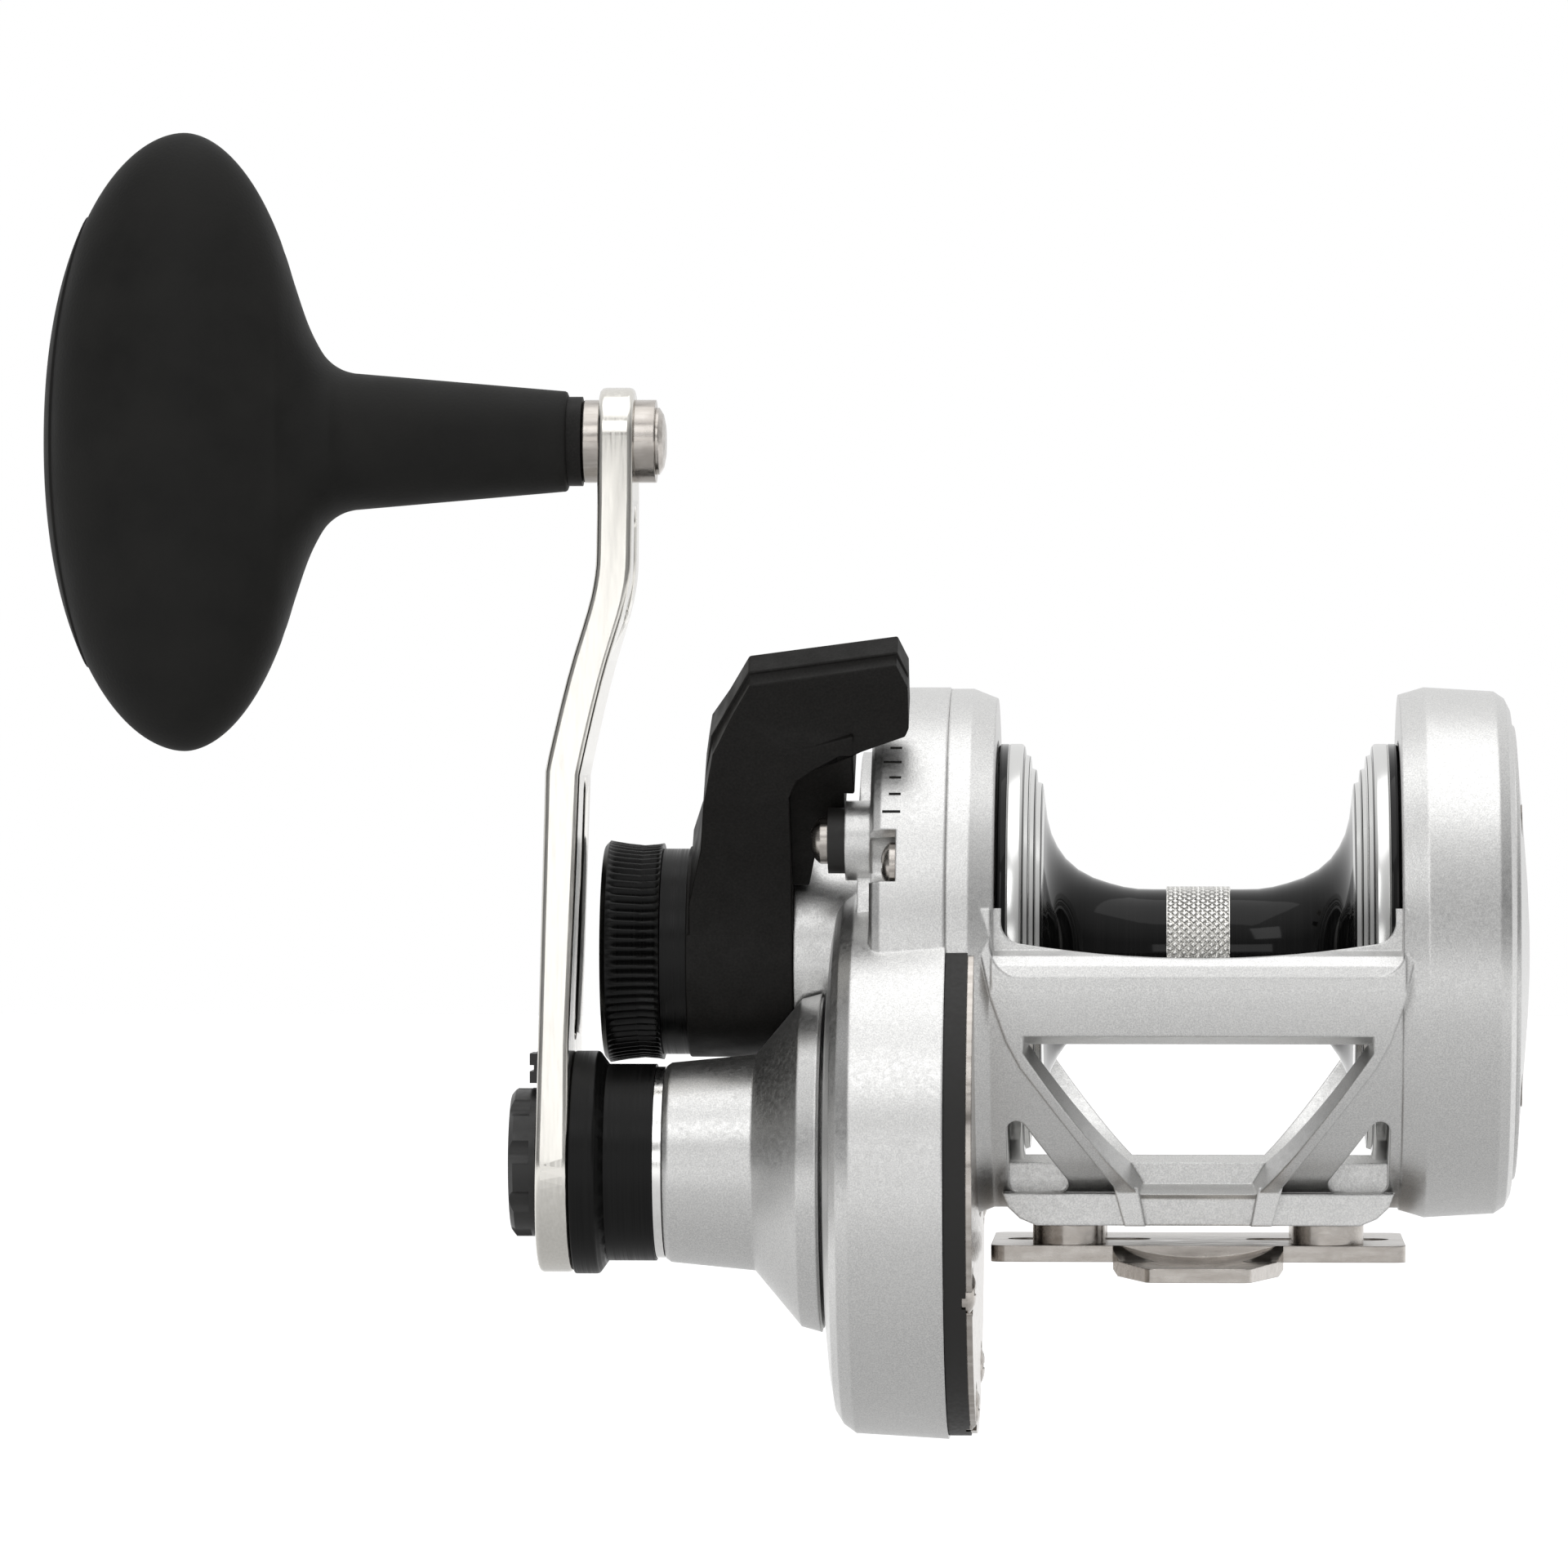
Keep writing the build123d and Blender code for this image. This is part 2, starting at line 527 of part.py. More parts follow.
def drag_lever():
    """Lever with a stepped thumb pad that reaches over the rim, and a web that meets the stops."""
    blade = prism_y(lever_outline(0), -0.4, 20.0) + prism_y(lever_outline(LEVER_STEP), -0.4, -20.0)
    front_view = make_face(Polyline([
        (-11.5, 0), (-11.5, 8.0), (-LEVER_HALF, 24.0), (-LEVER_HALF, 33.0), (-2.9, 46.0),
        (-2.6, 60.0), (3.6, 60.0), (3.9, 46.0), (LEVER_HALF, 36.0), (LEVER_HALF, 24.0),
        (11.5, 8.0), (11.5, 0),
    ], close=True))
    blade = blade & prism_x(front_view, -80, -40)
    web = [
        (-60.0, 16.0), (-60.0, 40.0), (-49.5, 43.5), (-49.5, 33.0), (-51.0, 33.0), (-51.0, 27.0),
        (-54.5, 27.0), (-56.5, 16.0),
    ]
    lever = blade + prism_y(web, -WEB_HALF, WEB_HALF) + tube(-74.5, -58.8, 15.5)
    lever = lever - tube(-75, -60.6, 9.0) - tube(-61, -58, 3.0)
    return Rot(LEVER_REST, 0, 0) * lever


def preset_knob():
    return turned([
        (-87.0, 0), (-87.0, 15.3), (-86.2, 16.3), (-83.6, 15.8), (-81.2, 15.6), (-79.0, 15.8),
        (-78.4, 15.9), (-78.4, SHAFT_THIN_R + 0.06), (-82.3, SHAFT_THIN_R + 0.06), (-82.3, 0),
    ])


def preset_springs():
    rings = []
    for i in range(3):
        start = -78.2 + 1.0 * i
        rings.append(tube(start, start + 0.9, 8.4, SHAFT_THIN_R))
    return rings


# ---- handle -----------------------------------------------------------------------------------------
def arm_side_view():
    """Closed side outline of the arm as (x, z), with a smooth step towards the knob end."""
    step = [(-94.1, 26.6), (-92.5, 33.9), (-89.9, 44.0), (-87.6, 52.0), (-86.9, 58.0)]
    thick = 5.1
    low = GEAR_Z - 18
    outer = Spline([(x, 0, z) for x, z in step])
    inner = Spline([(x + thick, 0, z - 0.6) for x, z in step])
    return make_face(
        Line((-95.7, 0, low), (-94.1, 0, 26.6)) + outer
        + Polyline([(-86.9, 0, 58.0), (-86.8, 0, 66.0), (-86.8, 0, 84.0), (-81.7, 0, 84.0),
                    (-81.7, 0, 66.0), (-81.8, 0, 57.4)])
        + inner
        + Polyline([(-94.1 + thick, 0, 26.0), (-90.5, 0, -12.5), (-90.5, 0, low), (-95.7, 0, low)])
    )


def handle_arm():
    plan = make_hull(
        (Pos(GEAR_Y, GEAR_Z) * Circle(16.0)).edges() + (Pos(GEAR_Y, KNOB_Z) * Circle(7.8)).edges()
    )
    arm = prism_x(plan, -100, -75) & extrude(arm_side_view(), 60, both=True)
    arm = arm - gear_tube(-97, -92.2, 11.1)
    arm = arm - block(-97, -93.7, GEAR_Y - 4.1, GEAR_Y + 4.1, GEAR_Z + 9, GEAR_Z + 17.9)
    arm = arm - gear_tube(-93, -90, 1.75)
    arm = arm - knob_tube(-90, -75, 3.0)
    for low, high, floor in ((48.0, 64.5, -84.6), (-12.0, 25.0, -92.2)):
        reach = make_face(Pos(GEAR_Y, (low + high) / 2) * SlotCenterToCenter(high - low - 5, 5, 90))
        arm = arm - prism_x(reach, floor, -78 if low > 0 else -88)
    for y, z in ARM_SCREWS:
        arm = arm - facing_left(countersink(2.2, 1.2, 6), -92.2, y, z)
    return arm


def hub_plate():
    plate = about_gear([
        (-90.5, 4.0), (-90.5, 16.2), (-86.9, 16.2), (-85.6, 14.4), (-85.6, 4.0),
    ])
    for y, z in ARM_SCREWS:
        plate = plate - tube(-91, -86.2, 1.2, 0, y, z)
    return plate


def shift_button():
    """Round push button with fluted rim and a shallow dome."""
    body = about_gear([
        (-95.7, 1.5), (-95.7, 10.8), (-98.9, 10.8), (-99.6, 9.9), (-99.7, 8.0), (-99.4, 0),
        (-97.0, 0), (-97.0, 1.5),
    ])
    for i in range(9):
        y, z = polar(12.6, 40 * i)
        body = body - tube(-100, -96.6, 2.6, 0, GEAR_Y + y, GEAR_Z + z)
    return body


def release_latch():
    latch = block(-95.8, -93.8, GEAR_Y - 4.0, GEAR_Y + 4.0, GEAR_Z + 11.3, GEAR_Z + 16.2)
    thumb = block(-96.9, -95.8, GEAR_Y - 3.6, GEAR_Y + 3.6, GEAR_Z + 11.6, GEAR_Z + 15.9)
    thumb = thumb - block(-97, -96.3, GEAR_Y - 5, GEAR_Y + 5, GEAR_Z + 13.3, GEAR_Z + 14.2)
    return latch + thumb


# ---- knob -------------------------------------------------------------------------------------------
KNOB_X = -147.5
KNOB_HALF_HEIGHT = 45.1
KNOB_DEPTH = 0.80            # depth of the grip over its width
CAP_X = -160.6
CAP_HALF = 32.8


def grip_bulb():
    """Rounded bar of the grip: a barrel about the vertical axis, flattened front to back."""
    right = [(20.6, 0), (20.3, 8.4), (18.8, 18.8), (16.4, 28.0), (12.2, 36.6), (6.8, 42.6)]
    crown = right + [(0, KNOB_HALF_HEIGHT)]
    upper = Spline([(r, 0, h) for r, h in crown], tangents=[(0, 0, 1), (-1, 0, 0)])
    lower = mirror(upper, Plane.XY)
    closing = Line((0, 0, -KNOB_HALF_HEIGHT), (0, 0, KNOB_HALF_HEIGHT))
    barrel = revolve(make_face(upper + lower + closing), Axis.Z, 360)
    flat = scale(barrel, by=(1, KNOB_DEPTH, 1))
    return Pos(KNOB_X, GEAR_Y, KNOB_Z) * flat


def grip_neck():
    flare = Spline(
        [(-134.0, 0, 16.0), (-127.7, 0, 13.0), (-122.8, 0, 10.1), (-112.0, 0, 8.9), (-91.6, 0, 7.4)]
    )
    close = Polyline([(-91.6, 0, 7.4), (-91.6, 0, 0), (-134.0, 0, 0), (-134.0, 0, 16.0)])
    return Pos(0, GEAR_Y, KNOB_Z) * revolve(make_face(flare + close), Axis.X, 360)


def knob_parts():
    bulb = grip_bulb()
    bore = knob_tube(-152.2, -91, 5.5)
    cap_zone = block(-175, CAP_X, GEAR_Y - 40, GEAR_Y + 40, KNOB_Z - CAP_HALF, KNOB_Z + CAP_HALF)
    grip = bulb + grip_neck() - bore - cap_zone
    cap = bulb & cap_zone
    return grip, cap


def knob_spindle():
    return Pos(0, GEAR_Y, KNOB_Z) * turned([
        (-150.8, 0), (-150.8, 3.0 - FIT), (-89.3, 3.0 - FIT), (-89.3, 5.8), (-89.0, 6.03),
        (-86.8, 6.03), (-86.8, 3.0), (-78.7, 3.0), (-78.7, 0),
    ])


def spindle_collar():
    return knob_tube(-81.7, -78.7, 6.03, 3.0)


def spindle_rivet():
    return Pos(0, GEAR_Y, KNOB_Z) * turned([
        (-78.7, 0), (-78.7, 4.87), (-78.2, 4.87), (-77.6, 3.9), (-77.3, 2.4), (-77.3, 0),
    ])


# ---- clicker ----------------------------------------------------------------------------------------
def click_pawl():
    outline = [(18.2, 0), (20.4, 1.5), (21.6, 1.5), (21.6, -1.5), (20.4, -1.5)]
    tip = prism_x(make_face(Polyline(outline, close=True)), 26.2, 27.3)
    return tip + tube(27.3, 46.4, 1.1, 0, CLICK_Y, 0)


def click_button():
    """Ribbed slider over the stem of the click pawl."""
    button = block(47.05, 48.1, 17.6, 22.8, -3.0, 3.0) - tube(46, 47.6, 1.1, 0, CLICK_Y, 0)
    button = button + tube(46.4, 47.05, 1.3, 0, CLICK_Y, 0)
    for i in range(3):
        button = button - block(47.8, 49, 18.5 + 1.3 * i, 19.0 + 1.3 * i, -4, 4)
    return button


# ---- write every piece --------------------------------------------------------------------------------
def main():
    os.makedirs("parts", exist_ok=True)
    save("frame", frame())
    save("gear_side_plate", gear_side_plate())
    save("palm_side_plate", palm_side_plate())
    save("gear_cover", gear_cover())
    save("hub_trim_ring", gear_tube(-78.5, HUB_END, 13.9, 4.6))
    save("gear_case_seal", crescent(-35.9, SEAL_RIGHT, 39.5))
    save("gear_case_back_plate", crescent(SEAL_RIGHT, -31.9, 39.2))
    save("foot", foot())
    save("foot_spacers", *[foot_spacer(x, y) for x, y in FOOT_BOSSES])
    save("foot_screws", *[
        Pos(x, y, -SPOOL_HEIGHT) * Rot(180, 0, 0) * flat_screw(3.4, 2.0, 9) for x, y in FOOT_BOSSES
    ])
    save("side_plate_screws", *[
        facing_left(pan_screw(3.3, 2.1, 1.5, 12.0), -43.2, y, z) for y, z in PLATE_SCREWS
    ])
    save("back_plate_screws", *[
        facing_right(pan_screw(3.35, 1.9, 1.5, 8.0), BACK_SEAT, y, z) for y, z in BACK_SCREWS
    ])
    save("palm_plate_screws", *[
        facing_right(flat_screw(2.4, 1.2, 5.0), 46.6, y, z) for y, z in PALM_SCREWS
    ])
    save("stop_bumpers", *[tube(-53.2, -50.7, 4.75, 1.5, y, z) for y, z in STOPS])
    save("stop_screws", *[
        facing_left(pan_screw(3.35, 2.5, 1.5, 8.0), -53.2, y, z) for y, z in STOPS
    ])
    save("outer_shaft_bearing", bearing(-77.2, -72.2, 4.0 + FIT, 9.0, GEAR_Y, GEAR_Z))
    save("one_way_clutch", bearing(-72.0, -64.0, 4.0 + FIT, 9.0, GEAR_Y, GEAR_Z))
    save("inner_shaft_bearing", bearing(-35.9, -33.5, 2.5 + FIT, 4.0, GEAR_Y, GEAR_Z))
    save("outer_pinion_bearing", bearing(-55.1, -51.7, 3.4 + FIT, 6.5))
    save("inner_pinion_bearing", bearing(-35.9, -32.7, 5.4 + FIT, 9.0))
    save("palm_shaft_bush", tube(42.2, 45.3, 6.0, SHAFT_R + FIT))
    save("anti_reverse_pawls", *[pawl(place, -51.2, -50.1) for place in PAWLS])

    save("spool", spool())
    save("spool_knurled_band", tube(-4.7, 4.7, ARBOR_R + 0.4, ARBOR_R - 0.5))
    save("spool_bearings", *[
        bearing(-24.2, -19.0, SHAFT_R + FIT, 6.5), bearing(19.0, 24.2, SHAFT_R + FIT, 6.5)
    ])
    save("carbon_drag_washer", tube(-27.4, -RECESS_X, 26.0, 12.0))
    save("click_ratchet", ratchet(30, 14.0, 1.2, RECESS_X, 27.2, 7.5, hooked=False))
    save("spool_shaft", spool_shaft())
    save("cam_follower", tube(-72.0, -66.8, 8.8, SHAFT_THIN_R))
    save("preset_springs", *preset_springs())
    save("preset_knob", preset_knob())
    save("high_pinion", high_pinion())
    save("low_pinion", low_pinion())
    save("drag_drive_plate", drive_plate())

    save("drag_lever", drag_lever())
    save("lever_sleeve", tube(-78.3, -74.5, 15.1, 9.0))
    save("drag_cam", tube(-66.0, -60.6, 9.0, 3.1))

    save("handle_arm", handle_arm())
    save("hub_plate", hub_plate())
    save("arm_screws", *[
        facing_left(flat_screw(2.2, 1.2, 5.5), -92.2, y, z) for y, z in ARM_SCREWS
    ])
    save("handle_collar", gear_tube(-85.6, -78.6, 14.3, 4.0))
    save("drive_shaft", drive_shaft())
    save("high_speed_gear", high_gear())
    save("anti_reverse_ratchet", Pos(0, GEAR_Y, GEAR_Z) * ratchet(16, 13.0, 1.8, -51.3, -50.0, 5.0))
    save("low_speed_gear", low_gear())
    save("shift_button", shift_button())
    save("shift_rod", gear_tube(-97.0, -46.0, 1.5))
    save("gear_key", gear_key() - gear_tube(-50, -40, 1.5))
    save("release_latch", release_latch())
    save("knob_spindle", knob_spindle())
    save("spindle_collar", spindle_collar())
    save("spindle_rivet", spindle_rivet())
    grip, cap = knob_parts()
    save("knob_grip", grip)
    save("knob_end_cap", cap)
    save("knob_ring", knob_tube(-91.5, -89.4, 6.5, 3.2))
    save("knob_bearings", *[
        bearing(-95.1, -91.6, 3.0, 5.5, GEAR_Y, KNOB_Z),
        bearing(-150.6, -147.0, 3.0, 5.5, GEAR_Y, KNOB_Z),
    ])
    save("click_pawl", click_pawl())
    save("click_button", click_button())


main()
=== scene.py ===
"""Looks of the two-speed trolling reel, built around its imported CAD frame.

+X runs along the spool's axis towards the palm side, -Y is the angler's side and +Z is up. The sizes
of pieces are in millimetres, times MM where they become geometry. All other lengths are in metres.
Turned pieces are drawn as (x, radius) profiles.
"""

import math

import bmesh
import bpy
import numpy as np
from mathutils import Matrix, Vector


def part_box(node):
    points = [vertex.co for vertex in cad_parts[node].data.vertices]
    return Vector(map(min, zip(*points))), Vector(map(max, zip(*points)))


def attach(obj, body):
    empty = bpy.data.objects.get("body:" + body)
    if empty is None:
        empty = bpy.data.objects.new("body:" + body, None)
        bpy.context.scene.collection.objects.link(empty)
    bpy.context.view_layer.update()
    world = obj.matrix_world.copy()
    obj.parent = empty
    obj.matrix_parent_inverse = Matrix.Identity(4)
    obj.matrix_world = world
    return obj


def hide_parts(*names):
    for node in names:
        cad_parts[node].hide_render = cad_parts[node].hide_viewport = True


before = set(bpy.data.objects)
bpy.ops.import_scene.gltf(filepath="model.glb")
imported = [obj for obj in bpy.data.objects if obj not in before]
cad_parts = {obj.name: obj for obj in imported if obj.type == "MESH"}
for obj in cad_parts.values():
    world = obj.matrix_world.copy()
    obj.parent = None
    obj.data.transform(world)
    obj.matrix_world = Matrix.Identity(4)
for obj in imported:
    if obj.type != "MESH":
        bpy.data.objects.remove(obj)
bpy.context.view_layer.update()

MM = 0.001


def middle(node):
    low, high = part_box(node)
    return (low + high) / 2


SPOOL = middle("spool")
GEAR = middle("drive_shaft")
KNOB = middle("knob_ring")


# ---- materials -----------------------------------------------------------------------------------
class NodeTree:
    """Short helpers for the nodes of a material or the world."""

    def __init__(self, tree):
        self.tree = tree

    def node(self, kind, **values):
        made = self.tree.nodes.new(kind)
        for key, value in values.items():
            setattr(made, key, value)
        return made

    def link(self, source, target):
        self.tree.links.new(source, target)

    def feed(self, value, socket):
        if isinstance(value, (int, float)):
            socket.default_value = value
        elif isinstance(value, tuple):
            socket.default_value = (*value, 1)
        else:
            self.link(value, socket)

    def math(self, operation, *values):
        made = self.node("ShaderNodeMath", operation=operation)
        for value, socket in zip(values, made.inputs):
            self.feed(value, socket)
        return made.outputs["Value"]

    def span(self, source, low, high, start=0.3, end=0.7):
        """Maps a factor's start..end to low..high."""
        made = self.node("ShaderNodeMapRange")
        made.inputs["From Min"].default_value = start
        made.inputs["From Max"].default_value = end
        made.inputs["To Min"].default_value = low
        made.inputs["To Max"].default_value = high
        self.link(source, made.inputs["Value"])
        return made.outputs["Result"]

    def blend(self, factor, first, second):
        """Number between first and second."""
        made = self.node("ShaderNodeMix", data_type="FLOAT")
        self.feed(factor, made.inputs[0])
        self.feed(first, made.inputs[2])
        self.feed(second, made.inputs[3])
        return made.outputs[0]

    def mix(self, factor, first, second):
        """Colour between first and second."""
        made = self.node("ShaderNodeMix", data_type="RGBA")
        self.feed(factor, made.inputs[0])
        self.feed(first, made.inputs[6])
        self.feed(second, made.inputs[7])
        return made.outputs[2]


class Shader(NodeTree):
    """A material: one Principled shader, driven by noise in object coordinates."""

    def __init__(self, name, color, metallic, roughness, **sockets):
        self.material = bpy.data.materials.new(name)
        self.material.use_nodes = True
        super().__init__(self.material.node_tree)
        self.bsdf = self.tree.nodes["Principled BSDF"]
        self.bsdf.inputs["Base Color"].default_value = (*color, 1)
        self.bsdf.inputs["Metallic"].default_value = metallic
        self.bsdf.inputs["Roughness"].default_value = roughness
        for socket, value in sockets.items():
            self.bsdf.inputs[socket.replace("_", " ")].default_value = value
        self.place = self.node("ShaderNodeTexCoord").outputs["Object"]
        self.normal = None

    def stretched(self, scale, about=(0, 0, 0)):
        """Object coordinates measured from a point and scaled per axis."""
        made = self.node("ShaderNodeMapping")
        made.inputs["Scale"].default_value = scale
        made.inputs["Location"].default_value = [-a * s for a, s in zip(about, scale)]
        self.link(self.place, made.inputs["Vector"])
        return made.outputs["Vector"]

    def noise(self, scale, detail=2.0, roughness=0.5, vector=None):
        made = self.node("ShaderNodeTexNoise")
        made.inputs["Scale"].default_value = scale
        made.inputs["Detail"].default_value = detail
        made.inputs["Roughness"].default_value = roughness
        self.link(vector or self.place, made.inputs["Vector"])
        return made.outputs["Fac"]

    def color(self, source):
        self.link(source, self.bsdf.inputs["Base Color"])

    def roughness(self, source):
        self.link(source, self.bsdf.inputs["Roughness"])

    def soften(self, radius):
        """Rounds the look of sharp edges by a radius."""
        made = self.node("ShaderNodeBevel", samples=6)
        made.inputs["Radius"].default_value = radius
        self.normal = made.outputs["Normal"]

    def bump(self, height, strength, distance):
        made = self.node("ShaderNodeBump")
        made.inputs["Strength"].default_value = strength
        made.inputs["Distance"].default_value = distance
        self.link(height, made.inputs["Height"])
        if self.normal is not None:
            self.link(self.normal, made.inputs["Normal"])
        self.normal = made.outputs["Normal"]
        self.link(self.normal, self.bsdf.inputs["Normal"])


def satin_silver():
    """Bead-blasted silver: fine sparkle, a soft cloudiness and a faint grain you can feel."""
    shader = Shader("satin_silver", (0.72, 0.72, 0.71), 1.0, 0.36)
    sparkle = shader.noise(5200, 1.0)
    cloud = shader.noise(60, 3.0)
    fine = shader.mix(shader.span(sparkle, 0, 1, 0.35, 0.68), (0.61, 0.61, 0.605), (0.815, 0.812, 0.80))
    shader.color(shader.mix(shader.span(cloud, 0, 0.25), fine, (0.755, 0.753, 0.745)))
    shader.roughness(shader.span(shader.noise(1400, 2.0), 0.31, 0.41))
    shader.soften(0.5 * MM)
    shader.bump(shader.noise(3400, 2.0), 0.22, 0.00006)
    return shader.material


def polished_aluminium(name, dark, light):
    """Polished bar with fine lengthwise lines, a little warm."""
    shader = Shader(name, light, 1.0, 0.17)
    lines = shader.noise(1.0, 3.0, vector=shader.stretched((2600, 2600, 60)))
    shader.color(shader.mix(shader.span(lines, 0, 1), dark, light))
    shader.roughness(shader.span(lines, 0.12, 0.24))
    shader.bump(lines, 0.06, 0.00003)
    return shader.material


def stainless(name="stainless", light=(0.62, 0.585, 0.55), dark=(0.40, 0.37, 0.34), rough=0.2):
    """Steel with a brown cast, rolling marks and small blotches."""
    shader = Shader(name, light, 1.0, rough)
    marks = shader.noise(1.0, 4.0, vector=shader.stretched((160, 900, 900)))
    blotch = shader.noise(420, 3.0)
    tone = shader.mix(shader.span(marks, 0, 1), dark, light)
    shader.color(shader.mix(shader.span(blotch, 0, 0.5, 0.45, 0.7), tone, dark))
    shader.roughness(shader.span(marks, rough - 0.06, rough + 0.10))
    shader.soften(0.25 * MM)
    shader.bump(shader.noise(1800, 2.0), 0.12, 0.00004)
    return shader.material


def turned_black(name="turned_black", about=(0, 0, 0), rough=0.32):
    """Black anodised turning with hair lines round its axis."""
    shader = Shader(name, (0.004, 0.004, 0.004), 0.0, rough, Specular_IOR_Level=0.2)
    lines = shader.noise(1.0, 3.0, vector=shader.stretched((5200, 30, 30), about))
    shader.color(shader.mix(shader.span(lines, 0, 1), (0.002, 0.002, 0.002), (0.007, 0.007, 0.0068)))
    shader.roughness(shader.span(lines, rough - 0.07, rough + 0.11))
    shader.bump(lines, 0.12, 0.00003)
    return shader.material


def matte_black():
    """Fine powder coat of the drag lever."""
    shader = Shader("matte_black", (0.008, 0.0077, 0.007), 0.0, 0.52, Specular_IOR_Level=0.2)
    grain = shader.noise(3000, 2.0)
    shader.color(shader.mix(shader.span(grain, 0, 1), (0.006, 0.0056, 0.005), (0.013, 0.012, 0.011)))
    shader.roughness(shader.span(shader.noise(300, 2.0), 0.46, 0.60))
    shader.bump(grain, 0.25, 0.00006)
    return shader.material


def rubber():
    """Soft-touch grip with a fine pebble."""
    shader = Shader("rubber", (0.010, 0.010, 0.0095), 0.0, 0.62, Specular_IOR_Level=0.2)
    pebble = shader.node("ShaderNodeTexVoronoi", feature="SMOOTH_F1")
    pebble.inputs["Scale"].default_value = 2200
    shader.link(shader.place, pebble.inputs["Vector"])
    dust = shader.noise(120, 3.0)
    shader.color(shader.mix(shader.span(dust, 0, 1), (0.007, 0.0069, 0.0063), (0.014, 0.0137, 0.0127)))
    shader.roughness(shader.span(dust, 0.55, 0.70))
    shader.bump(pebble.outputs["Distance"], 0.30, 0.00008)
    return shader.material


# Where the spool's finish changes, measured from its middle: 1 is bare metal, 0 is black.
SPOOL_BANDS = [
    (22.35, 1), (22.6, 0), (22.8, 1), (23.5, 0), (23.7, 1), (24.4, 0), (24.55, 1), (25.1, 0),
    (25.4, 1), (27.6, 0),
]
BAND_SPAN = 30.0             # length that the colour ramp covers


def spool_finish():
    """Gloss black spool. The lips and steps of its flanges are cut bright, with dark lines between."""
    shader = Shader("spool_finish", (0.004, 0.004, 0.004), 0.0, 0.07, Specular_IOR_Level=0.22)
    apart = shader.node("ShaderNodeSeparateXYZ")
    shader.link(shader.place, apart.inputs["Vector"])
    across = shader.math("DIVIDE", shader.math("ABSOLUTE", apart.outputs["X"]), BAND_SPAN * MM)
    bands = shader.node("ShaderNodeValToRGB")
    bands.color_ramp.interpolation = "CONSTANT"
    shader.link(across, bands.inputs["Fac"])
    for edge, bright in SPOOL_BANDS:
        stop = bands.color_ramp.elements.new(edge / BAND_SPAN)
        stop.color = (bright, bright, bright, 1)
    bare = bands.outputs["Color"]
    lines = shader.noise(1.0, 2.0, vector=shader.stretched((4200, 40, 40)))
    black = shader.mix(shader.span(lines, 0, 1), (0.003, 0.003, 0.003), (0.007, 0.007, 0.007))
    shader.color(shader.mix(bare, black, (0.74, 0.74, 0.73)))
    shader.link(bare, shader.bsdf.inputs["Metallic"])
    shader.roughness(shader.span(bare, 0.07, 0.2, 0, 1))
    return shader.material


def plain_grain(name, color, metallic, rough, scale=900, depth=0.00004):
    """Simple machined or moulded finish with a slight variation in tone and gloss."""
    shader = Shader(name, color, metallic, rough)
    speck = shader.noise(scale, 3.0)
    darker = tuple(c * 0.72 for c in color)
    shader.color(shader.mix(shader.span(speck, 0, 1), darker, color))
    shader.roughness(shader.span(speck, rough - 0.05, rough + 0.08))
    shader.bump(speck, 0.15, depth)
    return shader.material


SILVER = satin_silver()
ARM = polished_aluminium("arm_polish", (0.72, 0.70, 0.655), (0.80, 0.78, 0.735))
BRIGHT = polished_aluminium("bright_trim", (0.88, 0.875, 0.86), (0.96, 0.955, 0.94))
STEEL = stainless()
TURNED = turned_black("turned_black", SPOOL)
COLLAR = turned_black("collar_black", GEAR, 0.36)
MATTE = matte_black()
RUBBER = rubber()
GLOSS = spool_finish()
SEAL = plain_grain("seal_black", (0.011, 0.010, 0.009), 0.0, 0.5, 1500)
BEARING = plain_grain("bearing_steel", (0.62, 0.62, 0.63), 1.0, 0.16)
BRONZE = plain_grain("bronze", (0.55, 0.36, 0.16), 1.0, 0.28)
CARBON = plain_grain("carbon", (0.03, 0.03, 0.032), 0.0, 0.45, 700)
KNURL = plain_grain("knurl_silver", (0.96, 0.95, 0.92), 1.0, 0.2, 2400, 0.00002)
BUTTON = plain_grain("button_black", (0.020, 0.0195, 0.019), 0.0, 0.34, 1200)

